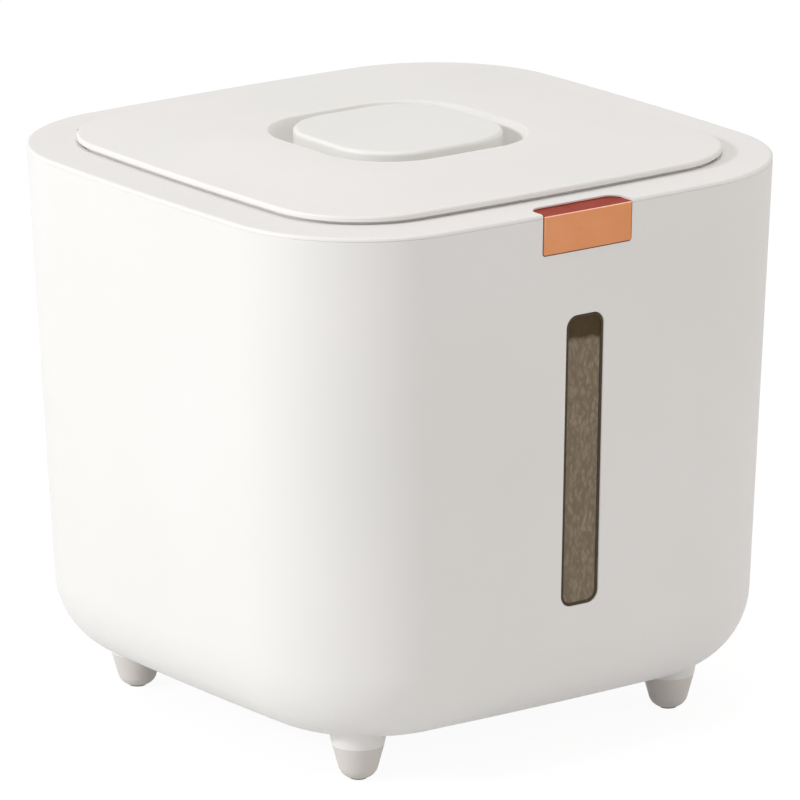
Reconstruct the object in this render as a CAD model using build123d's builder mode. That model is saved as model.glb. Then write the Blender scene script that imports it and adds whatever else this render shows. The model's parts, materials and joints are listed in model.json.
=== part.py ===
from build123d import *
import os
from math import cos, pi, radians, sin, sqrt, tan

os.makedirs("parts", exist_ok=True)

# Tub
WIDTH = 250.0
SIDE_BOW = 4.3
CORNER_SHARE = 0.244
RIM_HEIGHT = 229.0
BODY_LIFT = 18.0
DRAFT_ANGLE = 2.0
BASE_ROUND = 34.0
WALL = 2.5
FLOOR = 2.8
OVERRUN = 6.0

# Rim and lid well
RIM_CAP = 1.5
RIM_PLATE = 4.0
RIM_ROUND = 1.2
OPEN_INSET = 21.5
POCKET_GAP = 3.0
POCKET_CORNER = 3.7
POCKET_SIDE = 38.8
STEP_WALL = 2.0
LEDGE_PLATE = 2.2
LEDGE_MARGIN = 1.5
THROAT_DROP = 6.0
LIP_GAP = 0.6
LIP_WALL = 1.8
LIP_DROP = 8.0

# Lid
LID_OVER = 1.2
LID_GAP = 0.9
LID_RISE = 3.4
LID_CROWN = 3.0
LID_EDGE = 2.1
LID_EDGE_ROUND = 0.9
LID_PLATE = 2.3
SKIRT_WALL = 2.0
SKIRT_DROP = 11.0
PANEL = 2.5
PANEL_STEP = 0.2
GASKET_GAP = 1.5
GASKET_WIDTH = 5.0
GASKET_STAND = 2.5
GASKET_SEAT = 1.0
GASKET_ROUND = 0.8
CROWN_FLAT = 6.75
CROWN_SHARES = ((0.0, 0.0), (0.34, 0.38), (0.68, 0.76), (1.0, 1.0))

# Finger moat and capsule
MOAT_HALF = 45.6
MOAT_RADIUS = 30.0
MOAT_DEPTH = 9.0
MOAT_SLOPE = 5.0
MOAT_FLOOR = 2.0
MOAT_ROUND = 0.8
CAP_ROOM = 8.2
CAP_CORNER_ROOM = 3.7
CAP_RISE = 1.3
CAP_WALL = 2.4
CAP_ROUND = 1.6
CAP_FLOAT = 0.7
CUP_WALL = 1.5
CUP_FLANGE_ROOM = 5.5
CUP_FLANGE_WIDTH = 5.3
CUP_FLANGE_PLATE = 2.0
CUP_SLOT = 2.4
CUP_SLOT_PITCH_SHARE = 0.215
CUP_SLOT_LENGTH_SHARE = 1.157
CUP_SLOT_COUNT = 7
SPIGOT_WALL = 2.0
SPIGOT_DROP = 4.0
SEAL_PLATE = 1.5
SEAL_WIDTH = 3.5
CUP_ROOM = 0.4

# Hinge
HINGE_BACK = 3.5
HINGE_DROP = 0.7
PIN_RADIUS = 1.2
PIN_CLEARANCE = 0.05
EYE_RADIUS = 2.4
LUG_SHARE = 0.384
LUG_WIDTH = 8.0
LUG_WEB_REAR = 0.5
KNUCKLE_GAP = 0.6
KNUCKLE_WIDTH = 8.0
LUG_ROOM = 0.3
LUG_ROOM_TOP = 1.4
HINGE_BAY_SIDE = 4.1
HINGE_BAY_FRONT = 2.4
CLIP_RADIUS = 1.9
CLIP_PLATE = 0.7
SPRING_GAP = 1.95
SPRING_RADIUS = 1.65
SPRING_WIRE = 0.3
SPRING_TURNS = 5
SPRING_PITCH = 1.2
SPRING_LID_LEG = 15.0
RIB_SIZE = 4.0

# Latch
BUTTON_WIDTH = 42.6
BUTTON_HANG = 1.6
BUTTON_SINK = 0.8
BUTTON_PLATE = 2.1
BUTTON_PROUD = 0.4
BUTTON_RADIUS = 1.0
BUTTON_ROUND = 0.5
BUTTON_LAP = 3.1
BUTTON_GAP = 0.35
NOTCH_DEPTH = 11.1
NOTCH_RADIUS = 6.0
TRAVEL = 2.5
SLIDE_CLEARANCE = 0.3
SLIDER_SIDE = 5.0
SLIDER_DEPTH = 5.0
SLIDER_LIFT = 1.0
SLIDER_HIGH = 4.0
ARM_HALF = 6.0
ARM_PLATE = 2.4
HOOK_LAP = 2.0
HOOK_WALL = 2.4
HOOK_TOP = 7.0
HOOK_SHORT = 0.3
SLOT_SIDE = 2.0
KEEPER_STRIP = 1.6
KEEPER_OPENING = 4.2
HOOK_ROOM = 0.5
RETAINER_SIDE = 4.0
RETAINER_PLATE = 2.0
RETAINER_FRONT = 5.5
RETAINER_GAP = 0.4
LATCH_POST_SIDE = 5.0
LATCH_POST_RADIUS = 3.2
RETURN_X = 10.0
RETURN_RADIUS = 2.0
RETURN_WIRE = 0.35
RETURN_TURNS = 6
RETURN_DROP = 9.0

# Window
WINDOW_WIDTH = 18.0
WINDOW_RIM_GAP = 43.0
WINDOW_BASE_GAP = 15.0
WINDOW_RADIUS = 5.0
WINDOW_ROUND = 0.5
GLAND_WIDTH = 1.2
GLAND_PLATE = 0.8
GLAND_RECESS = 0.5
PANE_RECESS = 0.8
PANE_FLANGE = 5.0
PANE_PLATE = 1.5
CURVE_ROOM = 0.08

# Feet
FOOT_INSET = 48.0
FOOT_RADIUS = 10.4
COLLAR_DROP = 3.8
COLLAR_SINK = 12.0
COLLAR_FLARE = 3.2
FOOT_BASE = 6.6
FOOT_ROUND = 6.0
FOOT_LOW = 0.3
KEY_RADIUS = 7.0
KEY_DEPTH = 1.5
PAD_RADIUS = 3.6
PAD_HEIGHT = 4.0
PAD_ROUND = 0.4

# Screws and fits
SCREW_SHANK = 1.4
SCREW_HEAD = 2.8
SCREW_HEAD_PLATE = 1.6
SCREW_ROOM = 0.05
SCREW_DEEP = 8.0
POST_RADIUS = 3.3
POST_BACK = 4.4
POST_FRONT_X = 40.0
SOCKET_RADIUS = 1.0
SOCKET_DEPTH = 0.9
FIT = 0.15

# Heights and places that follow from the sizes above
HALF = WIDTH / 2
CORNER_RADIUS = CORNER_SHARE * WIDTH
SEAM = RIM_HEIGHT - RIM_CAP
LIP_INSET = WALL + LIP_GAP
PLATE_LOW = RIM_HEIGHT - RIM_PLATE
LID_INSET = OPEN_INSET - LID_OVER
POCKET_INSET = LID_INSET - POCKET_GAP
POCKET_RADIUS = CORNER_RADIUS - POCKET_INSET - POCKET_CORNER
POCKET_HALF = HALF - POCKET_SIDE
LID_EDGE_TOP = RIM_HEIGHT + LID_RISE
LID_TOP = LID_EDGE_TOP + LID_CROWN
EDGE_LOW = LID_EDGE_TOP - LID_EDGE
SKIRT_INSET = OPEN_INSET + LID_GAP
HOLLOW_INSET = SKIRT_INSET + SKIRT_WALL
SKIRT_LOW = RIM_HEIGHT - SKIRT_DROP
PANEL_INSET = SKIRT_INSET + PANEL_STEP
PANEL_LOW = SKIRT_LOW - PANEL
LEDGE = PANEL_LOW - GASKET_STAND
LEDGE_LOW = LEDGE - LEDGE_PLATE
POST_INSET = HOLLOW_INSET + POST_BACK
GASKET_INSET = POST_INSET + SCREW_HEAD + GASKET_GAP
THROAT_INSET = GASKET_INSET + GASKET_WIDTH + LEDGE_MARGIN
MOAT_LOW = LID_TOP - MOAT_DEPTH
CROWN_TOP_SHARE = (MOAT_HALF + CROWN_FLAT) / (HALF - LID_INSET)
CAP_HALF = MOAT_HALF - CAP_ROOM
CAP_RADIUS = MOAT_RADIUS - CAP_CORNER_ROOM
CAP_LOW = MOAT_LOW + CAP_FLOAT
CAP_TOP = LID_TOP + CAP_RISE
CUP_FLANGE = CAP_HALF - CAP_WALL - CUP_FLANGE_ROOM
CUP_RADIUS = CUP_FLANGE - CUP_FLANGE_WIDTH
FLANGE_TOP = MOAT_LOW + SEAL_PLATE + CUP_FLANGE_PLATE
HINGE_Y = HALF - HOLLOW_INSET - HINGE_BACK
HINGE_Z = RIM_HEIGHT - HINGE_DROP
BORE = PIN_RADIUS + PIN_CLEARANCE
LUG_X = LUG_SHARE * HALF
INNER_KNUCKLE_X = LUG_X - LUG_WIDTH / 2 - KNUCKLE_GAP - KNUCKLE_WIDTH / 2
OUTER_KNUCKLE_X = LUG_X + LUG_WIDTH / 2 + KNUCKLE_GAP + KNUCKLE_WIDTH / 2
PIN_HALF = OUTER_KNUCKLE_X + KNUCKLE_WIDTH / 2 + KNUCKLE_GAP + CLIP_PLATE
HINGE_BAY_HALF = PIN_HALF + HINGE_BAY_SIDE
SPRING_ADVANCE = SPRING_PITCH * (SPRING_TURNS + 1 / 4)
SPRING_X = INNER_KNUCKLE_X - KNUCKLE_WIDTH / 2 - SPRING_GAP - SPRING_ADVANCE
LEG_ROOM_TOP = HINGE_Z + SPRING_RADIUS + SPRING_WIRE + LUG_ROOM
SPRING_LEDGE_LEG = HINGE_Z - LEDGE - FIT
LEG_LEAN = SPRING_LEDGE_LEG * SPRING_PITCH / (2 * pi * SPRING_RADIUS)
SLIDER_FLOOR = LEDGE + SLIDER_LIFT
SLIDER_LOW = RIM_HEIGHT - SLIDER_FLOOR
SLIDER_HALF = BUTTON_WIDTH / 2 - SLIDER_SIDE
SLIDER_REAR = SLIDER_DEPTH + WALL + BUTTON_PROUD - HALF
BUTTON_TOP = RIM_HEIGHT - BUTTON_SINK
BUTTON_LOW = SLIDER_FLOOR - BUTTON_HANG
BUTTON_DROP = RIM_HEIGHT - BUTTON_LOW
BUTTON_REACH = NOTCH_DEPTH + BUTTON_LAP
BUTTON_REAR = BUTTON_REACH - HALF
KEEPER_LOW = SKIRT_LOW + KEEPER_STRIP
ARM_END = HOLLOW_INSET + HOOK_SHORT + HOOK_LAP + HOOK_WALL
PANEL_NOTCH = ARM_END + TRAVEL + HOOK_ROOM
RETAINER_TOP = SLIDER_FLOOR - SLIDE_CLEARANCE
RETAINER_REAR = OPEN_INSET - STEP_WALL - RETAINER_GAP
RETAINER_MIDDLE = (RETAINER_FRONT + RETAINER_REAR) / 2
LATCH_POST_X = BUTTON_WIDTH / 2 + LATCH_POST_SIDE
LATCH_POSTS = [(LATCH_POST_X, RETAINER_MIDDLE - HALF), (-LATCH_POST_X, RETAINER_MIDDLE - HALF)]
RETAINER_HALF = LATCH_POST_X + RETAINER_SIDE
RETURN_ROOM = OPEN_INSET - STEP_WALL - HALF - SLIDER_REAR
RETURN_PITCH = (RETURN_ROOM - 2 * (RETURN_WIRE + FIT)) / RETURN_TURNS
WINDOW_LOW = BODY_LIFT + BASE_ROUND + WINDOW_BASE_GAP
WINDOW_HEIGHT = RIM_HEIGHT - WINDOW_RIM_GAP - WINDOW_LOW
WINDOW_MIDDLE = WINDOW_LOW + WINDOW_HEIGHT / 2
FOOT_PLACE = HALF - FOOT_INSET
COLLAR_LOW = BODY_LIFT - COLLAR_DROP
SIDE_RADIUS = ((HALF - SIDE_BOW) ** 2 + SIDE_BOW**2) / (2 * SIDE_BOW)


# Where two neighbouring sides would cross on the diagonal, drawn in by an inset
def crossing(inset):
    return (HALF - SIDE_RADIUS + sqrt(2 * (SIDE_RADIUS - inset) ** 2 - (SIDE_RADIUS - HALF) ** 2)) / 2


POST_DIAGONAL = crossing(CORNER_RADIUS) + (CORNER_RADIUS - POST_INSET) * cos(pi / 4)
SCREW_SPOTS = [
    (POST_DIAGONAL, POST_DIAGONAL),
    (-POST_DIAGONAL, POST_DIAGONAL),
    (-POST_DIAGONAL, -POST_DIAGONAL),
    (POST_DIAGONAL, -POST_DIAGONAL),
    (HALF - POST_INSET, 0),
    (POST_INSET - HALF, 0),
    (POST_FRONT_X, POST_INSET - HALF),
    (-POST_FRONT_X, POST_INSET - HALF),
]
FOOT_SPOTS = {
    "front_left": (-FOOT_PLACE, -FOOT_PLACE),
    "front_right": (FOOT_PLACE, -FOOT_PLACE),
    "rear_left": (-FOOT_PLACE, FOOT_PLACE),
    "rear_right": (FOOT_PLACE, FOOT_PLACE),
}


# The bowed square of the rim, drawn in by an inset
def plan(inset, height, corner=None):
    reach = crossing(inset)
    corners = [(reach, -reach), (reach, reach), (-reach, reach), (-reach, -reach)]
    middles = [(HALF - inset, 0), (0, HALF - inset), (inset - HALF, 0), (0, inset - HALF)]
    with BuildSketch(Plane.XY.offset(height)) as shape:
        with BuildLine():
            for index in range(4):
                ThreePointArc(corners[index], middles[index], corners[(index + 1) % 4])
        make_face()
        fillet(shape.vertices(), corner or CORNER_RADIUS - inset)
    return shape.sketch


# How far the drafted wall has come in from the rim at a height
def wall_inset(height):
    return (RIM_HEIGHT - height) * tan(radians(DRAFT_ANGLE))


# The drafted form of the tub between two heights, drawn in by an inset, with corners of one radius
def drafted(inset, top, low):
    return [plan(inset + wall_inset(z), z, CORNER_RADIUS - inset) for z in (top, low)]


# The pocket behind the hinge that the lid's back edge swings into, larger by a wall
def pocket(wall, height):
    with BuildSketch(Plane.XY.offset(height)) as shape:
        add(plan(POCKET_INSET - wall, 0, POCKET_RADIUS + wall))
        with Locations((0, HALF / 2)):
            Rectangle(2 * (POCKET_HALF + wall), HALF, mode=Mode.INTERSECT)
    return shape.sketch


# The sections of the lid's crown over an outline
def crown(inset, low):
    sections = []
    for way_share, rise_share in CROWN_SHARES:
        with BuildSketch(Plane.XY.offset(low + rise_share * LID_CROWN)) as section:
            add(plan(inset, 0))
            scale(by=1 - way_share * (1 - CROWN_TOP_SHARE))
        sections.append(section.sketch)
    return sections


# A rounded square about the middle of the lid
def square(half, radius, height):
    with BuildSketch(Plane.XY.offset(height)) as shape:
        RectangleRounded(2 * half, 2 * half, radius)
    return shape.sketch


# A plane on the front wall with its normal pointing out
def front_plane(height):
    tilt = radians(DRAFT_ANGLE)
    return Plane(
        origin=(0, wall_inset(height) - HALF, height),
        x_dir=(1, 0, 0),
        z_dir=(0, -cos(tilt), -sin(tilt)),
    )


# Outer and inner forms of the tub
with BuildPart() as tub_form:
    loft(drafted(0, RIM_HEIGHT, BODY_LIFT), ruled=True)
    fillet(tub_form.edges().group_by(Axis.Z)[0], BASE_ROUND)

with BuildPart() as tub_hollow:
    loft(drafted(WALL, RIM_HEIGHT, BODY_LIFT + FLOOR), ruled=True)
    fillet(tub_hollow.edges().group_by(Axis.Z)[0], BASE_ROUND - WALL)

window_plane = front_plane(WINDOW_MIDDLE)

with BuildPart() as outer_body:
    add(tub_form.part)
    split(bisect_by=Plane.XY.offset(SEAM), keep=Keep.BOTTOM)
    with Locations(*[(x, y, COLLAR_LOW) for x, y in FOOT_SPOTS.values()]):
        Cone(
            bottom_radius=FOOT_RADIUS,
            top_radius=FOOT_RADIUS + COLLAR_FLARE,
            height=COLLAR_DROP + COLLAR_SINK,
            align=(Align.CENTER, Align.CENTER, Align.MIN),
        )
    add(tub_hollow.part, mode=Mode.SUBTRACT)
    with BuildSketch(Plane.XY.offset(COLLAR_LOW)):
        with Locations(*FOOT_SPOTS.values()):
            Circle(KEY_RADIUS)
    extrude(amount=KEY_DEPTH, mode=Mode.SUBTRACT)
    with BuildSketch(Plane.XY.offset(COLLAR_LOW)):
        with Locations(*FOOT_SPOTS.values()):
            Circle(SCREW_SHANK + SCREW_ROOM)
    extrude(amount=COLLAR_DROP, mode=Mode.SUBTRACT)
    with BuildSketch(window_plane.offset(OVERRUN)):
        RectangleRounded(WINDOW_WIDTH, WINDOW_HEIGHT, WINDOW_RADIUS)
    extrude(amount=-(2 * OVERRUN + WALL), mode=Mode.SUBTRACT)
    window_edges = [
        edge
        for edge in outer_body.edges()
        if abs(edge.center().X) < WINDOW_WIDTH
        and abs(window_plane.to_local_coords(edge.center()).Z) < WALL / 2
    ]
    fillet(window_edges, WINDOW_ROUND)
    with BuildSketch(Plane.XZ.offset(HALF + OVERRUN)):
        with Locations((0, BUTTON_LOW - BUTTON_GAP + BUTTON_DROP)):
            RectangleRounded(
                BUTTON_WIDTH + 2 * BUTTON_GAP, 2 * BUTTON_DROP, BUTTON_RADIUS + BUTTON_GAP
            )
    extrude(amount=-(2 * OVERRUN + WALL), mode=Mode.SUBTRACT)

with BuildPart() as top_frame:
    add(tub_form.part)
    split(bisect_by=Plane.XY.offset(SEAM), keep=Keep.TOP)
    fillet(top_frame.edges().group_by(Axis.Z)[-1], RIM_ROUND)
    # Plate and lip inside the tub wall
    extrude(plan(LIP_INSET, PLATE_LOW), amount=SEAM - PLATE_LOW)
    with BuildSketch(Plane.XY.offset(PLATE_LOW)):
        add(plan(LIP_INSET, 0))
        add(plan(LIP_INSET + LIP_WALL, 0), mode=Mode.SUBTRACT)
    extrude(amount=-LIP_DROP)
    # Lid well, ledge and throat
    extrude(plan(OPEN_INSET - STEP_WALL, PLATE_LOW), amount=LEDGE_LOW - PLATE_LOW)
    extrude(pocket(STEP_WALL, PLATE_LOW), amount=LEDGE_LOW - PLATE_LOW)
    extrude(plan(THROAT_INSET - STEP_WALL, LEDGE_LOW), amount=-THROAT_DROP)
    extrude(plan(OPEN_INSET, RIM_HEIGHT), amount=LEDGE - RIM_HEIGHT, mode=Mode.SUBTRACT)
    extrude(pocket(0, RIM_HEIGHT), amount=LEDGE - RIM_HEIGHT, mode=Mode.SUBTRACT)
    extrude(
        plan(THROAT_INSET, LEDGE + OVERRUN),
        amount=-(2 * OVERRUN + LEDGE_PLATE + THROAT_DROP),
        mode=Mode.SUBTRACT,
    )
    # Hinge lugs
    for side in (-1, 1):
        with BuildSketch(Plane.YZ.offset(side * LUG_X)):
            with Locations((HINGE_Y, HINGE_Z)):
                Circle(EYE_RADIUS)
            with BuildLine():
                Polyline(
                    (HINGE_Y - EYE_RADIUS, HINGE_Z),
                    (HINGE_Y - EYE_RADIUS, LEDGE_LOW),
                    (HINGE_Y + LUG_WEB_REAR, LEDGE_LOW),
                    (HINGE_Y + LUG_WEB_REAR, HINGE_Z),
                    close=True,
                )
            make_face()
            with Locations((HINGE_Y, HINGE_Z)):
                Circle(BORE, mode=Mode.SUBTRACT)
        extrude(amount=LUG_WIDTH / 2, both=True)
    # Notch that shows the button, with a thin roof over the part that slides under it
    with BuildSketch(Plane.XY.offset(RIM_HEIGHT + OVERRUN)):
        with Locations((0, NOTCH_DEPTH - HALF - HALF / 2)):
            RectangleRounded(BUTTON_WIDTH + 2 * BUTTON_GAP, HALF, NOTCH_RADIUS)
    extrude(amount=-(OVERRUN + RIM_PLATE + LIP_DROP + OVERRUN), mode=Mode.SUBTRACT)
    with BuildSketch(Plane.XY.offset(BUTTON_TOP + FIT)):
        with Locations((0, BUTTON_REAR + TRAVEL + SLIDE_CLEARANCE - HALF / 2)):
            Rectangle(BUTTON_WIDTH + 2 * BUTTON_GAP, HALF)
    extrude(amount=-(LIP_DROP + RIM_PLATE), mode=Mode.SUBTRACT)
    # Slot for the hook arm
    with BuildSketch(Plane.XZ.offset(HALF - OPEN_INSET + STEP_WALL + OVERRUN)):
        with Locations((0, LEDGE + (SLIDER_FLOOR + ARM_PLATE + SLIDE_CLEARANCE - LEDGE) / 2)):
            Rectangle(
                2 * (ARM_HALF + SLIDE_CLEARANCE), SLIDER_FLOOR + ARM_PLATE + SLIDE_CLEARANCE - LEDGE
            )
    extrude(amount=-(OVERRUN + STEP_WALL + OVERRUN), mode=Mode.SUBTRACT)
    # Posts for the latch retainer
    with BuildSketch(Plane.XY.offset(RETAINER_TOP)):
        with Locations(*LATCH_POSTS):
            Circle(LATCH_POST_RADIUS)
    extrude(amount=PLATE_LOW - RETAINER_TOP)
    with BuildSketch(Plane.XY.offset(RETAINER_TOP)):
        with Locations(*LATCH_POSTS):
            Circle(SCREW_SHANK + SCREW_ROOM)
    extrude(amount=SCREW_DEEP, mode=Mode.SUBTRACT)

with BuildPart() as lid_cover:
    # Edge, crown and skirt
    extrude(plan(LID_INSET, EDGE_LOW), amount=LID_EDGE)
    loft(crown(LID_INSET, LID_EDGE_TOP))
    lid_rim = lid_cover.edges().filter_by_position(Axis.Z, LID_EDGE_TOP - FIT, LID_EDGE_TOP + FIT)
    fillet(lid_rim, LID_EDGE_ROUND)
    extrude(plan(SKIRT_INSET, SKIRT_LOW), amount=EDGE_LOW - SKIRT_LOW)
    extrude(
        plan(HOLLOW_INSET, SKIRT_LOW), amount=LID_EDGE_TOP - LID_PLATE - SKIRT_LOW, mode=Mode.SUBTRACT
    )
    loft(crown(HOLLOW_INSET, LID_EDGE_TOP - LID_PLATE), mode=Mode.SUBTRACT)
    # Screw posts
    with BuildSketch(Plane.XY.offset(SKIRT_LOW)):
        with Locations(*SCREW_SPOTS):
            Circle(POST_RADIUS)
    extrude(amount=LID_EDGE_TOP - LID_PLATE / 2 - SKIRT_LOW)
    with BuildSketch(Plane.XY.offset(SKIRT_LOW)):
        with Locations(*SCREW_SPOTS):
            Circle(SCREW_SHANK + SCREW_ROOM)
    extrude(amount=SCREW_DEEP, mode=Mode.SUBTRACT)
    # Bowl of the finger moat
    low_half = MOAT_HALF - MOAT_SLOPE
    low_radius = MOAT_RADIUS - MOAT_SLOPE
    over_grow = MOAT_SLOPE * OVERRUN / MOAT_DEPTH
    loft(
        [
            square(low_half + MOAT_FLOOR, low_radius + MOAT_FLOOR, MOAT_LOW - MOAT_FLOOR),
            square(MOAT_HALF + MOAT_FLOOR, MOAT_RADIUS + MOAT_FLOOR, LID_TOP - LID_PLATE / 2),
        ]
    )
    loft(
        [
            square(low_half, low_radius, MOAT_LOW),
            square(MOAT_HALF + over_grow, MOAT_RADIUS + over_grow, LID_TOP + OVERRUN),
        ],
        mode=Mode.SUBTRACT,
    )
    fillet(lid_cover.faces().sort_by(Axis.Z)[-1].inner_wires()[0].edges(), MOAT_ROUND)
    with BuildSketch(Plane.XY.offset(MOAT_LOW)):
        Circle(CUP_RADIUS + CUP_ROOM)
    extrude(amount=-(MOAT_FLOOR + OVERRUN), mode=Mode.SUBTRACT)
    # Hinge knuckles and the room for the lugs between them
    for place in (-OUTER_KNUCKLE_X, -INNER_KNUCKLE_X, INNER_KNUCKLE_X, OUTER_KNUCKLE_X):
        with BuildSketch(Plane.YZ.offset(place)):
            with Locations((HINGE_Y, HINGE_Z)):
                Circle(EYE_RADIUS)
            with BuildLine():
                Polyline(
                    (HINGE_Y - EYE_RADIUS, HINGE_Z),
                    (HINGE_Y + EYE_RADIUS, HINGE_Z),
                    (HINGE_Y + EYE_RADIUS, LID_EDGE_TOP - LID_PLATE / 2),
                    (HINGE_Y - EYE_RADIUS, LID_EDGE_TOP - LID_PLATE / 2),
                    close=True,
                )
            make_face()
            with Locations((HINGE_Y, HINGE_Z)):
                Circle(BORE, mode=Mode.SUBTRACT)
        extrude(amount=KNUCKLE_WIDTH / 2, both=True)
    for side in (-1, 1):
        with BuildSketch(Plane.YZ.offset(side * LUG_X)):
            with Locations((HINGE_Y, HINGE_Z)):
                Circle(EYE_RADIUS + LUG_ROOM)
            with BuildLine():
                Polyline(
                    (HINGE_Y - EYE_RADIUS - LUG_ROOM, SKIRT_LOW - OVERRUN),
                    (HALF, SKIRT_LOW - OVERRUN),
                    (HALF, HINGE_Z + LUG_ROOM_TOP),
                    (HINGE_Y - EYE_RADIUS - LUG_ROOM, HINGE_Z + LUG_ROOM_TOP),
                    close=True,
                )
            make_face()
        extrude(amount=LUG_WIDTH / 2 + KNUCKLE_GAP, both=True, mode=Mode.SUBTRACT)
        # Slot in the skirt that passes the spring's lower leg as the lid opens
        with BuildSketch(Plane.YZ.offset(side * (SPRING_X - LEG_LEAN / 2))):
            with BuildLine():
                Polyline(
                    (HINGE_Y, SKIRT_LOW - OVERRUN),
                    (HALF, SKIRT_LOW - OVERRUN),
                    (HALF, LEG_ROOM_TOP),
                    (HINGE_Y, LEG_ROOM_TOP),
                    close=True,
                )
            make_face()
        extrude(amount=LEG_LEAN / 2 + SPRING_WIRE + LUG_ROOM, both=True, mode=Mode.SUBTRACT)
        # Rib that the spring's upper leg pushes on
        with BuildSketch(Plane.XY.offset(HINGE_Z + SPRING_RADIUS + SPRING_WIRE)):
            with Locations((side * (SPRING_X + SPRING_ADVANCE), HINGE_Y - SPRING_LID_LEG)):
                Rectangle(RIB_SIZE, RIB_SIZE)
        extrude(amount=LID_EDGE_TOP - HINGE_Z - SPRING_RADIUS - SPRING_WIRE)
    # Opening over the keeper strip
    with BuildSketch(Plane.XZ.offset(HALF)):
        with Locations((0, KEEPER_LOW + KEEPER_OPENING / 2)):
            Rectangle(2 * (ARM_HALF + SLOT_SIDE), KEEPER_OPENING)
    extrude(amount=-(HOLLOW_INSET + OVERRUN), mode=Mode.SUBTRACT)

with BuildPart() as lid_panel:
    extrude(plan(PANEL_INSET, PANEL_LOW), amount=PANEL)
    with BuildSketch(Plane.XY.offset(PANEL_LOW)):
        add(plan(GASKET_INSET - FIT, 0))
        add(plan(GASKET_INSET + GASKET_WIDTH + FIT, 0), mode=Mode.SUBTRACT)
    extrude(amount=GASKET_SEAT, mode=Mode.SUBTRACT)
    with BuildSketch(Plane.XY.offset(PANEL_LOW - OVERRUN)):
        Circle(CUP_RADIUS + CUP_ROOM)
        with Locations((0, HINGE_Y - HINGE_BAY_FRONT + HALF / 2)):
            Rectangle(2 * HINGE_BAY_HALF, HALF)
        with Locations((0, PANEL_NOTCH - HALF - HALF / 2)):
            Rectangle(2 * (ARM_HALF + SLOT_SIDE), HALF)
        with Locations(*SCREW_SPOTS):
            Circle(SCREW_SHANK + SCREW_ROOM)
    extrude(amount=2 * OVERRUN + PANEL, mode=Mode.SUBTRACT)
    with BuildSketch(Plane.XY.offset(PANEL_LOW)):
        with Locations(*SCREW_SPOTS):
            Circle(SCREW_HEAD + FIT)
    extrude(amount=SCREW_HEAD_PLATE, mode=Mode.SUBTRACT)

with BuildPart() as lid_gasket:
    with BuildSketch(Plane.XY.offset(LEDGE)):
        add(plan(GASKET_INSET, 0))
        add(plan(GASKET_INSET + GASKET_WIDTH, 0), mode=Mode.SUBTRACT)
    extrude(amount=PANEL_LOW + GASKET_SEAT - LEDGE)
    fillet(lid_gasket.edges().group_by(Axis.Z)[0], GASKET_ROUND)

with BuildPart() as lid_screws:
    with BuildSketch(Plane.XY.offset(PANEL_LOW)):
        with Locations(*SCREW_SPOTS):
            Circle(SCREW_HEAD)
    extrude(amount=SCREW_HEAD_PLATE)
    with BuildSketch(Plane.XY.offset(PANEL_LOW)):
        with Locations(*SCREW_SPOTS):
            Circle(SCREW_SHANK)
    extrude(amount=PANEL + SCREW_DEEP - FIT)
    with BuildSketch(Plane.XY.offset(PANEL_LOW)):
        with Locations(*SCREW_SPOTS):
            RegularPolygon(SOCKET_RADIUS, 6)
    extrude(amount=SOCKET_DEPTH, mode=Mode.SUBTRACT)

# Capsule
with BuildPart() as capsule_cap:
    extrude(square(CAP_HALF, CAP_RADIUS, CAP_LOW), amount=CAP_TOP - CAP_LOW)
    fillet(capsule_cap.edges().group_by(Axis.Z)[-1], CAP_ROUND)
    extrude(
        square(CAP_HALF - CAP_WALL, CAP_RADIUS - CAP_WALL, CAP_LOW),
        amount=CAP_TOP - CAP_WALL - CAP_LOW,
        mode=Mode.SUBTRACT,
    )
    with BuildSketch(Plane.XY.offset(FLANGE_TOP)):
        Circle(CUP_RADIUS + SPIGOT_WALL)
        Circle(CUP_RADIUS - CUP_WALL - FIT - SPIGOT_WALL, mode=Mode.SUBTRACT)
    extrude(amount=CAP_TOP - CAP_WALL / 2 - FLANGE_TOP)
    with BuildSketch(Plane.XY.offset(FLANGE_TOP)):
        Circle(CUP_RADIUS - CUP_WALL - FIT)
        Circle(CUP_RADIUS - CUP_WALL - FIT - SPIGOT_WALL, mode=Mode.SUBTRACT)
    extrude(amount=-SPIGOT_DROP)

with BuildPart() as capsule_cup:
    with BuildSketch(Plane.XY.offset(PANEL_LOW)):
        Circle(CUP_RADIUS)
    extrude(amount=FLANGE_TOP - PANEL_LOW)
    with BuildSketch(Plane.XY.offset(FLANGE_TOP - CUP_FLANGE_PLATE)):
        Circle(CUP_FLANGE)
    extrude(amount=CUP_FLANGE_PLATE)
    with BuildSketch(Plane.XY.offset(PANEL_LOW + CUP_WALL)):
        Circle(CUP_RADIUS - CUP_WALL)
    extrude(amount=FLANGE_TOP - PANEL_LOW + OVERRUN, mode=Mode.SUBTRACT)
    with BuildSketch(Plane.XY.offset(PANEL_LOW - OVERRUN)):
        with GridLocations(CUP_SLOT_PITCH_SHARE * CUP_RADIUS, CUP_RADIUS, CUP_SLOT_COUNT, 1):
            SlotOverall(CUP_SLOT_LENGTH_SHARE * CUP_RADIUS, CUP_SLOT, rotation=90)
    extrude(amount=CUP_WALL + 2 * OVERRUN, mode=Mode.SUBTRACT)

with BuildPart() as capsule_seal:
    with BuildSketch(Plane.XY.offset(MOAT_LOW)):
        Circle(CUP_FLANGE - SCREW_ROOM)
        Circle(CUP_FLANGE - SCREW_ROOM - SEAL_WIDTH, mode=Mode.SUBTRACT)
    extrude(amount=SEAL_PLATE)

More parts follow.
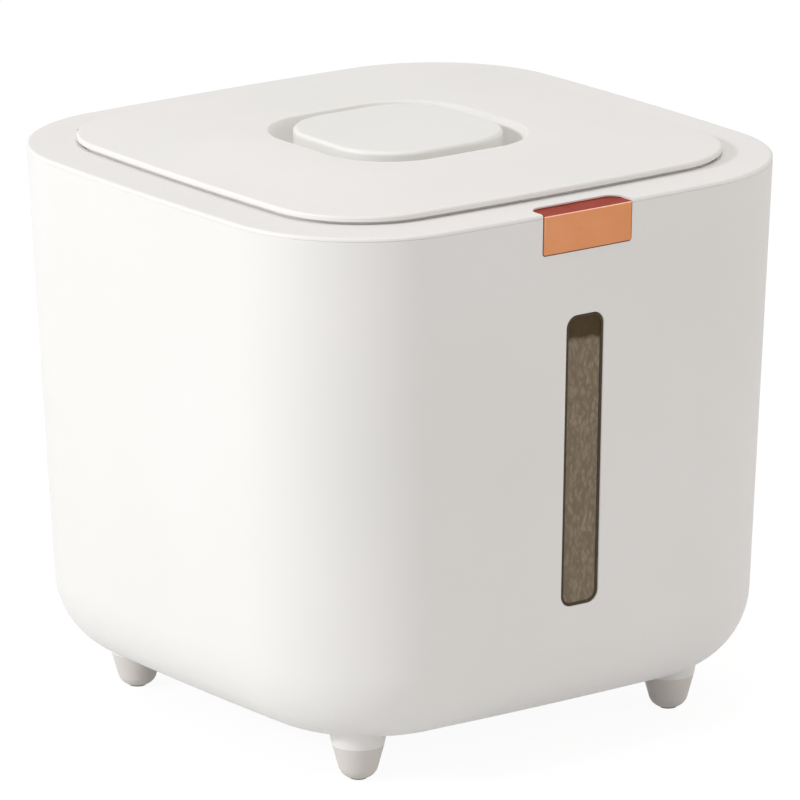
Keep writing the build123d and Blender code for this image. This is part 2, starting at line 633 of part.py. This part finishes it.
# Latch
with BuildPart() as latch_button:
    loft(drafted(-BUTTON_PROUD, BUTTON_TOP, BUTTON_LOW), ruled=True)
    loft(
        drafted(BUTTON_PLATE - BUTTON_PROUD, BUTTON_TOP - BUTTON_PLATE, BUTTON_LOW - OVERRUN),
        ruled=True,
        mode=Mode.SUBTRACT,
    )
    with BuildSketch(Plane.XZ.offset(HALF + OVERRUN)):
        with Locations((0, BUTTON_LOW + BUTTON_DROP)):
            RectangleRounded(BUTTON_WIDTH, 2 * BUTTON_DROP, BUTTON_RADIUS)
    extrude(amount=-(OVERRUN + BUTTON_REACH), mode=Mode.INTERSECT)
    fillet(latch_button.faces().sort_by(Axis.Y)[0].outer_wire().edges(), BUTTON_ROUND)

with BuildPart() as latch_slider:
    loft(
        drafted(BUTTON_PLATE - BUTTON_PROUD, RIM_HEIGHT - SLIDER_HIGH, SLIDER_FLOOR), ruled=True
    )
    with BuildSketch(Plane.XY.offset(SLIDER_FLOOR)):
        with Locations((0, SLIDER_REAR - HALF / 2)):
            Rectangle(2 * SLIDER_HALF, HALF)
    extrude(amount=SLIDER_LOW, mode=Mode.INTERSECT)
    with BuildSketch(Plane.YZ):
        with BuildLine():
            Polyline(
                (SLIDER_REAR, SLIDER_FLOOR),
                (ARM_END - HALF, SLIDER_FLOOR),
                (ARM_END - HALF, SLIDER_FLOOR + HOOK_TOP),
                (HOLLOW_INSET + HOOK_SHORT - HALF, KEEPER_LOW + SLIDE_CLEARANCE),
                (ARM_END - HOOK_WALL - HALF, KEEPER_LOW + SLIDE_CLEARANCE),
                (ARM_END - HOOK_WALL - HALF, SLIDER_FLOOR + ARM_PLATE),
                (SLIDER_REAR, SLIDER_FLOOR + ARM_PLATE),
                close=True,
            )
        make_face()
    extrude(amount=ARM_HALF, both=True)

with BuildPart() as latch_retainer:
    with BuildSketch(Plane.XY.offset(RETAINER_TOP)):
        with Locations((0, RETAINER_MIDDLE - HALF)):
            Rectangle(2 * RETAINER_HALF, RETAINER_REAR - RETAINER_FRONT)
        with Locations(*LATCH_POSTS):
            Circle(SCREW_SHANK + SCREW_ROOM, mode=Mode.SUBTRACT)
    extrude(amount=-RETAINER_PLATE)

with BuildPart() as latch_screws:
    with BuildSketch(Plane.XY.offset(RETAINER_TOP - RETAINER_PLATE)):
        with Locations(*LATCH_POSTS):
            Circle(SCREW_HEAD)
    extrude(amount=-SCREW_HEAD_PLATE)
    with BuildSketch(Plane.XY.offset(RETAINER_TOP - RETAINER_PLATE)):
        with Locations(*LATCH_POSTS):
            Circle(SCREW_SHANK)
    extrude(amount=RETAINER_PLATE + SCREW_DEEP - FIT)
    with BuildSketch(Plane.XY.offset(RETAINER_TOP - RETAINER_PLATE - SCREW_HEAD_PLATE)):
        with Locations(*LATCH_POSTS):
            RegularPolygon(SOCKET_RADIUS, 6)
    extrude(amount=SOCKET_DEPTH, mode=Mode.SUBTRACT)

# Hinge
with BuildPart() as hinge_pin:
    with BuildSketch(Plane.YZ):
        with Locations((HINGE_Y, HINGE_Z)):
            Circle(PIN_RADIUS)
    extrude(amount=PIN_HALF, both=True)

with BuildPart() as pin_clips:
    for side in (-1, 1):
        with BuildSketch(Plane.YZ.offset(side * (PIN_HALF - CLIP_PLATE / 2))):
            with Locations((HINGE_Y, HINGE_Z)):
                Circle(CLIP_RADIUS)
                Circle(PIN_RADIUS, mode=Mode.SUBTRACT)
        extrude(amount=CLIP_PLATE / 2, both=True)


# The way along a coil in quarter turns, each of two arcs, with straight legs at its ends
def coil(frame, radius, pitch, quarters, first_leg=0.0, last_leg=0.0):
    spots = []
    for index in range(quarters + 1):
        turn = index * pi / 2
        rise = pitch / (2 * pi)
        spot = frame.from_local_coords(Vector(radius * cos(turn), radius * sin(turn), rise * turn))
        ahead = frame.from_local_coords(
            Vector(radius * (cos(turn) - sin(turn)), radius * (sin(turn) + cos(turn)), rise * (turn + 1))
        )
        spots.append((spot, (ahead - spot).normalized()))
    with BuildLine() as way:
        if first_leg:
            Line(spots[0][0] - spots[0][1] * first_leg, spots[0][0])
        for (start, leave), (end, arrive) in zip(spots, spots[1:]):
            chord = end - start
            pull = chord.dot(leave + arrive)
            bend = 2 * (1 - leave.dot(arrive))
            reach = ((pull * pull + bend * chord.dot(chord)) ** 0.5 - pull) / bend
            middle = (start + end + (leave - arrive) * reach) * 0.5
            first = TangentArc(start, middle, tangent=leave)
            TangentArc(middle, end, tangent=first % 1)
        if last_leg:
            Line(spots[-1][0], spots[-1][0] + spots[-1][1] * last_leg)
    return way.wire()


with BuildPart() as hinge_spring_right:
    spring_frame = Plane(origin=(SPRING_X, HINGE_Y, HINGE_Z), x_dir=(0, 1, 0), z_dir=(1, 0, 0))
    spring_way = coil(
        spring_frame, SPRING_RADIUS, SPRING_PITCH, 4 * SPRING_TURNS + 1, SPRING_LEDGE_LEG, SPRING_LID_LEG
    )
    with BuildSketch(Plane(origin=spring_way @ 0, z_dir=spring_way % 0)):
        Circle(SPRING_WIRE)
    sweep(path=spring_way)

with BuildPart() as hinge_spring_left:
    add(hinge_spring_right.part.mirror(Plane.YZ))

with BuildPart() as latch_springs:
    for side in (-1, 1):
        return_frame = Plane(
            origin=(side * RETURN_X, SLIDER_REAR + RETURN_WIRE + FIT, RIM_HEIGHT - RETURN_DROP),
            x_dir=(1, 0, 0),
            z_dir=(0, 1, 0),
        )
        return_way = coil(return_frame, RETURN_RADIUS, RETURN_PITCH, 4 * RETURN_TURNS)
        with BuildSketch(Plane(origin=return_way @ 0, z_dir=return_way % 0)):
            Circle(RETURN_WIRE)
        sweep(path=return_way)

# Window
with BuildPart() as window_gasket:
    with BuildSketch(window_plane.offset(-GLAND_RECESS)):
        RectangleRounded(WINDOW_WIDTH - 2 * CURVE_ROOM, WINDOW_HEIGHT - 2 * CURVE_ROOM, WINDOW_RADIUS)
    extrude(amount=GLAND_RECESS - WALL - CURVE_ROOM)
    with BuildSketch(window_plane.offset(-WALL - CURVE_ROOM)):
        RectangleRounded(
            WINDOW_WIDTH + 2 * PANE_FLANGE, WINDOW_HEIGHT + 2 * PANE_FLANGE, WINDOW_RADIUS + PANE_FLANGE
        )
    extrude(amount=-GLAND_PLATE)
    with BuildSketch(window_plane):
        RectangleRounded(
            WINDOW_WIDTH - 2 * GLAND_WIDTH, WINDOW_HEIGHT - 2 * GLAND_WIDTH, WINDOW_RADIUS - GLAND_WIDTH
        )
    extrude(amount=-(WALL + CURVE_ROOM + GLAND_PLATE + OVERRUN), mode=Mode.SUBTRACT)

with BuildPart() as window_pane:
    with BuildSketch(window_plane.offset(-PANE_RECESS)):
        RectangleRounded(
            WINDOW_WIDTH - 2 * GLAND_WIDTH, WINDOW_HEIGHT - 2 * GLAND_WIDTH, WINDOW_RADIUS - GLAND_WIDTH
        )
    extrude(amount=-(WALL + CURVE_ROOM + GLAND_PLATE - PANE_RECESS))
    with BuildSketch(window_plane.offset(-WALL - CURVE_ROOM - GLAND_PLATE)):
        RectangleRounded(
            WINDOW_WIDTH + 2 * PANE_FLANGE, WINDOW_HEIGHT + 2 * PANE_FLANGE, WINDOW_RADIUS + PANE_FLANGE
        )
    extrude(amount=-PANE_PLATE)

# Feet
with BuildPart() as foot:
    with BuildSketch(Plane.XZ) as foot_side:
        with BuildLine():
            Polyline(
                (0, FOOT_LOW),
                (FOOT_BASE, FOOT_LOW),
                (FOOT_RADIUS, COLLAR_LOW),
                (0, COLLAR_LOW),
                close=True,
            )
        make_face()
        fillet(foot_side.vertices().group_by(Axis.Y)[0].sort_by(Axis.X)[-1], FOOT_ROUND)
    revolve(axis=Axis.Z)
    with BuildSketch(Plane.XY.offset(COLLAR_LOW)):
        Circle(KEY_RADIUS - FIT)
    extrude(amount=KEY_DEPTH - FIT)
    with BuildSketch(Plane.XY):
        Circle(PAD_RADIUS)
    extrude(amount=PAD_HEIGHT, mode=Mode.SUBTRACT)
    with BuildSketch(Plane.XY.offset(PAD_HEIGHT)):
        Circle(SCREW_HEAD + FIT)
    extrude(amount=SCREW_HEAD_PLATE + FIT, mode=Mode.SUBTRACT)
    with BuildSketch(Plane.XY.offset(PAD_HEIGHT)):
        Circle(SCREW_SHANK + SCREW_ROOM)
    extrude(amount=COLLAR_LOW, mode=Mode.SUBTRACT)

with BuildPart() as foot_pad:
    with BuildSketch(Plane.XY):
        Circle(PAD_RADIUS)
    extrude(amount=PAD_HEIGHT)
    fillet(foot_pad.edges().group_by(Axis.Z)[0], PAD_ROUND)

with BuildPart() as foot_screws:
    with BuildSketch(Plane.XY.offset(PAD_HEIGHT + FIT)):
        with Locations(*FOOT_SPOTS.values()):
            Circle(SCREW_HEAD)
    extrude(amount=SCREW_HEAD_PLATE)
    with BuildSketch(Plane.XY.offset(PAD_HEIGHT + FIT)):
        with Locations(*FOOT_SPOTS.values()):
            Circle(SCREW_SHANK)
    extrude(amount=BODY_LIFT - PAD_HEIGHT - 2 * FIT)
    with BuildSketch(Plane.XY.offset(PAD_HEIGHT + FIT)):
        with Locations(*FOOT_SPOTS.values()):
            RegularPolygon(SOCKET_RADIUS, 6)
    extrude(amount=SOCKET_DEPTH, mode=Mode.SUBTRACT)

# Each piece goes out as a file of its own
PIECES = {
    "outer_body": outer_body,
    "top_frame": top_frame,
    "window_pane": window_pane,
    "window_gasket": window_gasket,
    "foot_screws": foot_screws,
    "hinge_pin": hinge_pin,
    "pin_clips": pin_clips,
    "hinge_spring_left": hinge_spring_left,
    "hinge_spring_right": hinge_spring_right,
    "latch_button": latch_button,
    "latch_slider": latch_slider,
    "latch_springs": latch_springs,
    "latch_retainer": latch_retainer,
    "latch_screws": latch_screws,
    "lid_cover": lid_cover,
    "lid_panel": lid_panel,
    "lid_gasket": lid_gasket,
    "lid_screws": lid_screws,
    "capsule_cap": capsule_cap,
    "capsule_cup": capsule_cup,
    "capsule_seal": capsule_seal,
}
for label, piece in PIECES.items():
    piece.part.label = label
    export_step(piece.part, f"parts/{label}.step")
for place, spot in FOOT_SPOTS.items():
    placed_foot = foot.part.moved(Location(spot))
    placed_foot.label = f"foot_{place}"
    export_step(placed_foot, f"parts/foot_{place}.step")
    placed_pad = foot_pad.part.moved(Location(spot))
    placed_pad.label = f"foot_pad_{place}"
    export_step(placed_pad, f"parts/foot_pad_{place}.step")
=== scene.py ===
import json
import math

import bmesh
import bpy
from mathutils import Matrix, Vector


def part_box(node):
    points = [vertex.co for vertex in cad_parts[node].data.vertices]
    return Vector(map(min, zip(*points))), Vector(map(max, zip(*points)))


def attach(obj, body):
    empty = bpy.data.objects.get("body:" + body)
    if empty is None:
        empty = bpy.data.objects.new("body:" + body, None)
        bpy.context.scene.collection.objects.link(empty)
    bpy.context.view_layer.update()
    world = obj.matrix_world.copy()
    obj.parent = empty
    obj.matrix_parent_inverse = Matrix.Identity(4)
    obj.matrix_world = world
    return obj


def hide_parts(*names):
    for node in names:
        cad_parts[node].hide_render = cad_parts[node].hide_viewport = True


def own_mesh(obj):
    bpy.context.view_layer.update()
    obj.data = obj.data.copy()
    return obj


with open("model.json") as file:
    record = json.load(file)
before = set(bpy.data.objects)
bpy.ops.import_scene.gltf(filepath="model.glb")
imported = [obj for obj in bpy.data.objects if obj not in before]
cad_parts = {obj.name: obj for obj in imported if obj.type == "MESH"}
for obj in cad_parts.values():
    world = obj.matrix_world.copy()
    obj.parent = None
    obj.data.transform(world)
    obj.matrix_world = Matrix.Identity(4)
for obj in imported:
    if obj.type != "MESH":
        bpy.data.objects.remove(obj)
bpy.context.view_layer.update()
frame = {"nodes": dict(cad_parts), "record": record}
nodes = frame["nodes"]
scene = bpy.context.scene

# Spans of a noise over which two colours or two roughnesses are spread
NARROW = (0.35, 0.65)
WIDE = (0.3, 0.7)


# Colours are written as they look on a screen, from 0 to 255
def colour(red, green, blue):
    def linear(value):
        share = value / 255
        return share / 12.92 if share <= 0.04045 else ((share + 0.055) / 1.055) ** 2.4

    return linear(red), linear(green), linear(blue), 1.0


# A material with its shader, and short ways to add and join nodes
class Surface:
    def __init__(self, name):
        self.material = bpy.data.materials.new(name)
        self.material.use_nodes = True
        self.tree = self.material.node_tree
        self.shader = self.tree.nodes["Principled BSDF"]
        self.place = self.add("ShaderNodeTexCoord").outputs["Object"]

    def add(self, kind, **settings):
        node = self.tree.nodes.new(kind)
        for key, value in settings.items():
            setattr(node, key, value)
        return node

    def join(self, source, target):
        self.tree.links.new(source, target)

    def noise(self, scale, detail=2.0, place=None):
        node = self.add("ShaderNodeTexNoise")
        node.inputs["Scale"].default_value = scale
        node.inputs["Detail"].default_value = detail
        self.join(place or self.place, node.inputs["Vector"])
        return node.outputs["Fac"]

    def stretched(self, scale, turn=(0, 0, 0), place=None):
        node = self.add("ShaderNodeMapping")
        node.inputs["Scale"].default_value = scale
        node.inputs["Rotation"].default_value = turn
        self.join(place or self.place, node.inputs["Vector"])
        return node.outputs["Vector"]

    def ramp(self, value, low, high, to_low=0.0, to_high=1.0, smooth=False):
        node = self.add("ShaderNodeMapRange", clamp=True)
        node.interpolation_type = "SMOOTHSTEP" if smooth else "LINEAR"
        ends = {"From Min": low, "From Max": high, "To Min": to_low, "To Max": to_high}
        for name, number in ends.items():
            node.inputs[name].default_value = number
        self.join(value, node.inputs["Value"])
        return node.outputs["Result"]

    def mix(self, share, first, second):
        node = self.add("ShaderNodeMix", data_type="RGBA")
        sockets = {"A": node.inputs[6], "B": node.inputs[7]}
        self.join(share, node.inputs[0])
        for name, value in (("A", first), ("B", second)):
            if isinstance(value, tuple):
                sockets[name].default_value = value
            else:
                self.join(value, sockets[name])
        return node.outputs[2]

    def math(self, operation, first, second):
        node = self.add("ShaderNodeMath", operation=operation)
        for socket, value in zip(node.inputs, (first, second)):
            if isinstance(value, (int, float)):
                socket.default_value = value
            else:
                self.join(value, socket)
        return node.outputs[0]

    def bump(self, height, depth):
        node = self.add("ShaderNodeBump")
        node.inputs["Strength"].default_value = 1.0
        node.inputs["Distance"].default_value = depth
        self.join(height, node.inputs["Height"])
        self.join(node.outputs["Normal"], self.shader.inputs["Normal"])

    def paint(self, value):
        self.join(value, self.shader.inputs["Base Color"])

    def roughen(self, value):
        self.join(value, self.shader.inputs["Roughness"])

    def set(self, name, value):
        self.shader.inputs[name].default_value = value

    # One coordinate of a point, or one part of a direction
    def along(self, axis, source=None):
        node = self.add("ShaderNodeSeparateXYZ")
        self.join(source or self.place, node.inputs[0])
        return node.outputs[axis]


# Depths of the grain on outer and inner mouldings, in metres
FINE_GRAIN = 0.000012
COARSE_GRAIN = 0.00002


# Moulded plastic: a faint flow cloud in the colour, satin patches and a fine spark-eroded grain
def plastic(name, light, dark, rough, grain=FINE_GRAIN):
    made = Surface(name)
    spread = 0.05
    made.paint(made.mix(made.ramp(made.noise(scale=9.0, detail=3.0), *NARROW), dark, light))
    satin = made.noise(scale=160.0, detail=3.0)
    made.roughen(made.ramp(satin, *WIDE, to_low=rough - spread, to_high=rough + spread))
    made.bump(made.noise(scale=2600.0, detail=2.0), grain)
    made.set("Specular IOR Level", 0.4)
    return made.material


# Rubber and silicone: matt, with a mottled bloom
def rubber(name, light, dark, rough):
    made = Surface(name)
    spread = 0.08
    made.paint(made.mix(made.ramp(made.noise(scale=420.0, detail=4.0), *WIDE), dark, light))
    bloom = made.noise(scale=900.0, detail=2.0)
    made.roughen(made.ramp(bloom, *WIDE, to_low=rough - spread, to_high=rough + spread))
    made.bump(made.noise(scale=3800.0, detail=2.0), depth=COARSE_GRAIN)
    made.set("Specular IOR Level", 0.3)
    return made.material


# Drawn steel, with fine lines along the wire or rod
def steel(name):
    made = Surface(name)
    lines = made.noise(scale=1.0, detail=3.0, place=made.stretched((260.0, 2400.0, 2400.0)))
    made.paint(made.mix(made.ramp(lines, *NARROW), colour(150, 150, 152), colour(196, 196, 198)))
    made.roughen(made.ramp(lines, *WIDE, to_low=0.24, to_high=0.4))
    made.bump(lines, depth=0.000006)
    made.set("Metallic", 1.0)
    return made.material


# Anodised copper: satin front, a deeper red top that is painted shade, and a painted highlight along the
# bend between them
def copper(name):
    made = Surface(name)
    facing = made.add("ShaderNodeTexCoord").outputs["Normal"]
    upward = made.along("Z", facing)
    cloud = made.ramp(made.noise(scale=70.0, detail=3.0), *NARROW)
    front = made.mix(cloud, colour(206, 138, 95), colour(211, 144, 102))
    # The top's deeper red is painted shade on the upward faces, chosen by the surface's upward direction
    top = made.mix(cloud, colour(170, 66, 54), colour(183, 79, 66))
    bend_start, bend_full, bend_fade, bend_end = 0.2, 0.5, 0.8, 0.97
    body = made.mix(made.ramp(upward, bend_fade, bend_end, smooth=True), front, top)
    # Painted highlight: a pale band where the surface turns from the front to the top
    bend_highlight = made.math(
        "MULTIPLY",
        made.ramp(upward, bend_start, bend_full, smooth=True),
        made.ramp(upward, bend_end, bend_fade, smooth=True),
    )
    # The pale colour is the painted highlight on the bend
    made.paint(made.mix(bend_highlight, body, colour(238, 200, 178)))
    grain = made.noise(scale=1.0, detail=2.0, place=made.stretched((90.0, 2600.0, 2600.0)))
    made.roughen(made.ramp(grain, *WIDE, to_low=0.36, to_high=0.46))
    made.bump(grain, depth=0.000004)
    made.set("Metallic", 1.0)
    made.set("Specular Tint", (0.85, 0.67, 0.62, 1.0))
    return made.material


# Grains painted behind the pane: cells per metre across, deep and up, the turns of their two layers, how
# far the cells are bent, the span of painted shade that rounds a grain, the span that chooses its layer,
# and the height, the unevenness and the soft edge of the filling, in metres
GRAIN_CELLS = (620.0, 120.0, 260.0)
GRAIN_TURNS = (0.55, -0.85)
GRAIN_BEND = 0.004
GRAIN_SHADE_SPAN = (0.15, 0.75)
GRAIN_CHOICE = (0.44, 0.56)
FILL_LEVEL = 0.1764
FILL_WAVE = 0.003
FILL_EDGE = 0.0012


# Smoked pane with the filling painted into its colour: grains up to the level of the filling, with
# painted shade round and between them, and above that painted shade of the dark empty inside
def smoked(name, level):
    made = Surface(name)
    up = made.along("Z")
    warp = made.add("ShaderNodeVectorMath", operation="MULTIPLY_ADD")
    drift = made.add("ShaderNodeTexNoise")
    drift.inputs["Scale"].default_value = 190.0
    made.join(made.place, drift.inputs["Vector"])
    made.join(drift.outputs["Color"], warp.inputs[0])
    warp.inputs[1].default_value = (GRAIN_BEND,) * 3
    made.join(made.place, warp.inputs[2])
    layers = []
    for turn in GRAIN_TURNS:
        spread = made.stretched(GRAIN_CELLS, (0, turn, 0), warp.outputs[0])
        cells = made.add("ShaderNodeTexVoronoi", feature="F1")
        cells.inputs["Scale"].default_value = 1.0
        made.join(spread, cells.inputs["Vector"])
        grain_shade = made.ramp(cells.outputs["Distance"], *GRAIN_SHADE_SPAN, to_low=1.0, to_high=0.0, smooth=True)
        layers.append(grain_shade)
    choice = made.ramp(made.noise(scale=210.0, detail=2.0), *GRAIN_CHOICE, smooth=True)
    blend = made.add("ShaderNodeMix", data_type="FLOAT")
    made.join(choice, blend.inputs[0])
    made.join(layers[0], blend.inputs[2])
    made.join(layers[1], blend.inputs[3])
    patches = made.ramp(made.noise(scale=110.0, detail=3.0), *NARROW)
    pale = made.mix(patches, colour(136, 122, 104), colour(148, 134, 116))
    # The darker colour is painted shade in the gaps between grains and round each grain's edge
    grains = made.mix(blend.outputs[0], colour(122, 108, 89), pale)
    wave = made.math("MULTIPLY_ADD", made.noise(scale=160.0, detail=2.0), 2 * FILL_WAVE)
    wave.node.inputs[2].default_value = -FILL_WAVE
    height = made.math("ADD", up, wave)
    smoke = made.ramp(made.noise(scale=240.0, detail=3.0), *WIDE)
    # Above the filling: painted shade of the dark empty inside, seen through the pane's smoked tint
    empty = made.mix(smoke, colour(68, 53, 29), colour(79, 64, 40))
    above = made.ramp(height, level - FILL_EDGE, level + FILL_EDGE, smooth=True)
    made.paint(made.mix(above, grains, empty))
    made.roughen(made.ramp(made.noise(scale=300.0, detail=2.0), *WIDE, to_low=0.2, to_high=0.28))
    made.bump(made.noise(scale=120.0, detail=2.0), depth=0.00001)
    made.set("Specular IOR Level", 0.1)
    return made.material


shell = plastic("white_shell", colour(234, 231, 229), colour(231, 229, 226), rough=0.5)
pad = plastic("white_pad", colour(232, 231, 228), colour(230, 229, 225), rough=0.48)
inner = plastic(
    "white_inner", colour(230, 228, 224), colour(225, 222, 218), rough=0.58, grain=COARSE_GRAIN
)
foot_grey = plastic(
    "foot_grey", colour(220, 214, 209), colour(214, 208, 203), rough=0.55, grain=COARSE_GRAIN
)
pad_rubber = rubber("pad_rubber", colour(150, 145, 140), colour(128, 124, 120), rough=0.8)
dark_seal = rubber("dark_seal", colour(78, 66, 50), colour(66, 55, 40), rough=0.7)
pale_seal = rubber("pale_seal", colour(226, 224, 218), colour(214, 212, 206), rough=0.6)
metal = steel("steel")
copper_finish = copper("copper")
pane = smoked("smoked_pane", FILL_LEVEL)

FINISHES = {
    shell: ["outer_body", "top_frame", "lid_cover"],
    pad: ["capsule_cap"],
    inner: ["lid_panel", "capsule_cup", "latch_slider", "latch_retainer"],
    foot_grey: ["foot_front_left", "foot_front_right", "foot_rear_left", "foot_rear_right"],
    pad_rubber: [
        "foot_pad_front_left",
        "foot_pad_front_right",
        "foot_pad_rear_left",
        "foot_pad_rear_right",
    ],
    metal: [
        "hinge_pin",
        "pin_clips",
        "hinge_spring_left",
        "hinge_spring_right",
        "latch_springs",
        "lid_screws",
        "latch_screws",
        "foot_screws",
    ],
    dark_seal: ["window_gasket"],
    pale_seal: ["lid_gasket", "capsule_seal"],
    copper_finish: ["latch_button"],
    pane: ["window_pane"],
}
for finish, names in FINISHES.items():
    for name in names:
        mesh = nodes[name].data
        mesh.materials.clear()
        mesh.materials.append(finish)


# Points of a mesh that are nearer than this are one, in metres
WELD = 1e-7


# A piece of a node's mesh, closed where it is cut
def share_of(name, node, belongs):
    shape = bmesh.new()
    shape.from_mesh(nodes[node].data)
    bmesh.ops.remove_doubles(shape, verts=shape.verts, dist=WELD)
    others = [face for face in shape.faces if not belongs(face.calc_center_median())]
    bmesh.ops.delete(shape, geom=others, context="FACES")
    bmesh.ops.holes_fill(shape, edges=[edge for edge in shape.edges if edge.is_boundary], sides=0)
    for face in shape.faces:
        face.smooth = True
    mesh = bpy.data.meshes.new(name)
    shape.to_mesh(mesh)
    shape.free()
    mesh.materials.append(metal)
    piece = bpy.data.objects.new(name, mesh)
    scene.collection.objects.link(piece)
    return piece


# Each hinge spring in two pieces: the coil stays on the bin and the arm under the lid turns with the lid
joints = {joint["name"]: joint for joint in frame["record"]["behaviour"]["joints"]}
HINGE = joints["lid_hinge"]["pos_m"]
# Radius of the wire, and how far round and above it the arm is told from the coil
WIRE = 0.0003
ARM_ROUND = 1.5 * WIRE
ARM_ABOVE = 4 * WIRE
for side in ("left", "right"):
    node = f"hinge_spring_{side}"
    low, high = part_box(node)
    arm_x = low[0] + WIRE if side == "left" else high[0] - WIRE

    def on_arm(spot, arm_x=arm_x):
        return abs(spot.x - arm_x) < ARM_ROUND and spot.y < HINGE[1] and spot.z > HINGE[2] + ARM_ABOVE

    coil = share_of(f"spring_coil_{side}", node, lambda spot: not on_arm(spot))
    arm = share_of(f"spring_arm_{side}", node, on_arm)
    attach(coil, "bin")
    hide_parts(node)
    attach(arm, "lid")

# Return springs, in one piece that stays on the bin, with a mesh of their own (the springs shorten as
# the button is pushed)
low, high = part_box("latch_springs")
returns = share_of("return_springs", "latch_springs", lambda spot: True)
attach(returns, "bin")
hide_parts("latch_springs")
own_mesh(returns)

# Pale floor, white where nothing shades it: half its width in metres, its glow and the share of the glow
REACH = 12.0
GLOW = 1.06
GLOW_SHARE = 0.88
floor_mesh = bpy.data.meshes.new("floor")
floor_mesh.from_pydata(
    [(-REACH, -REACH, 0), (REACH, -REACH, 0), (REACH, REACH, 0), (-REACH, REACH, 0)], [], [(0, 1, 2, 3)]
)
floor = bpy.data.objects.new("floor", floor_mesh)
scene.collection.objects.link(floor)


# One where a ray comes from the camera, a mirror or a glass
def seen(tree):
    path = tree.nodes.new("ShaderNodeLightPath")
    total = path.outputs["Is Camera Ray"]
    for name in ("Is Glossy Ray", "Is Transmission Ray"):
        largest = tree.nodes.new("ShaderNodeMath")
        largest.operation = "MAXIMUM"
        tree.links.new(total, largest.inputs[0])
        tree.links.new(path.outputs[name], largest.inputs[1])
        total = largest.outputs[0]
    return total


floor_finish = Surface("floor")
floor_finish.paint(
    floor_finish.mix(floor_finish.noise(3.0), colour(228, 228, 228), colour(233, 233, 233))
)
floor_finish.set("Roughness", 0.9)
floor_finish.set("Specular IOR Level", 0.0)
glow = floor_finish.add("ShaderNodeEmission")
glow.inputs["Strength"].default_value = GLOW
cover = floor_finish.add("ShaderNodeMixShader")
share = floor_finish.math("MULTIPLY", seen(floor_finish.tree), GLOW_SHARE)
floor_finish.join(share, cover.inputs[0])
floor_finish.join(floor_finish.shader.outputs[0], cover.inputs[1])
floor_finish.join(glow.outputs[0], cover.inputs[2])
floor_finish.join(cover.outputs[0], floor_finish.tree.nodes["Material Output"].inputs["Surface"])
floor_mesh.materials.append(floor_finish.material)

# Even studio light all round, white to the camera
AROUND_TINT = (1.0, 0.985, 0.97, 1.0)
AROUND = 0.54
world = bpy.data.worlds.new("studio")
scene.world = world
world.use_nodes = True
sky = world.node_tree
around = sky.nodes["Background"]
around.inputs["Color"].default_value = AROUND_TINT
around.inputs["Strength"].default_value = AROUND
white = sky.nodes.new("ShaderNodeBackground")
white.inputs["Strength"].default_value = 1.0
choose = sky.nodes.new("ShaderNodeMixShader")
sky.links.new(seen(sky), choose.inputs[0])
sky.links.new(around.outputs[0], choose.inputs[1])
sky.links.new(white.outputs[0], choose.inputs[2])
sky.links.new(choose.outputs[0], sky.nodes["World Output"].inputs["Surface"])


# Direction away from the object at an azimuth and an elevation, in degrees
def direction(azimuth, elevation):
    a, e = math.radians(azimuth), math.radians(elevation)
    return Vector((math.sin(a) * math.cos(e), -math.cos(a) * math.cos(e), math.sin(e)))


# Where the lamps aim and how far off they stand, in metres
LAMP_AIM = Vector((0, 0, 0.12))
LAMP_DISTANCE = 3.0
PLAIN = (1.0, 1.0, 1.0)
COOL = (0.96, 0.985, 1.0)
WARM = (1.0, 0.955, 0.91)


# A soft panel of light that faces the object, with its size in metres and its power in watts
def panel(name, azimuth, elevation, size, power, tint):
    towards = direction(azimuth, elevation)
    light = bpy.data.lights.new(name, "AREA")
    light.size = size
    light.energy = power
    light.color = tint
    lamp = bpy.data.objects.new(name, light)
    lamp.location = LAMP_AIM + towards * LAMP_DISTANCE
    lamp.rotation_euler = (-towards).to_track_quat("-Z", "Y").to_euler()
    scene.collection.objects.link(lamp)


panel("key", azimuth=-102, elevation=27, size=0.35, power=37.0, tint=COOL)
panel("low", azimuth=-96, elevation=2, size=1.0, power=16.5, tint=COOL)
panel("top", azimuth=0, elevation=85, size=1.2, power=22.0, tint=PLAIN)
panel("fill", azimuth=42, elevation=18, size=1.6, power=11.5, tint=WARM)

# Camera at the photograph's place: angles in degrees, lengths in metres, sensor and lens in millimetres
AZIMUTH = -35.94
ELEVATION = 15.39
ROLL = -0.354
CAMERA_AIM = Vector((0, 0, 0.13265))
CAMERA_DISTANCE = 3.3445
SHIFT_RIGHT = 0.000114
SHIFT_DOWN = 0.00818
SENSOR = 36.0
LENS = 374.976
NEAREST = 0.1
FARTHEST = 100.0
back = direction(AZIMUTH, ELEVATION)
right = Vector((math.cos(math.radians(AZIMUTH)), math.sin(math.radians(AZIMUTH)), 0))
up = back.cross(right)
place = CAMERA_AIM + back * CAMERA_DISTANCE + right * SHIFT_RIGHT - up * SHIFT_DOWN
roll = math.radians(ROLL)
turned_right = right * math.cos(roll) + up * math.sin(roll)
turned_up = up * math.cos(roll) - right * math.sin(roll)
view = bpy.data.cameras.new("camera")
view.sensor_width = SENSOR
view.lens = LENS
view.clip_start = NEAREST
view.clip_end = FARTHEST
camera = bpy.data.objects.new("camera", view)
turn = Matrix((turned_right, turned_up, back)).transposed().to_4x4()
camera.matrix_world = Matrix.Translation(place) @ turn
scene.collection.objects.link(camera)
scene.camera = camera

scene.view_settings.view_transform = "Standard"
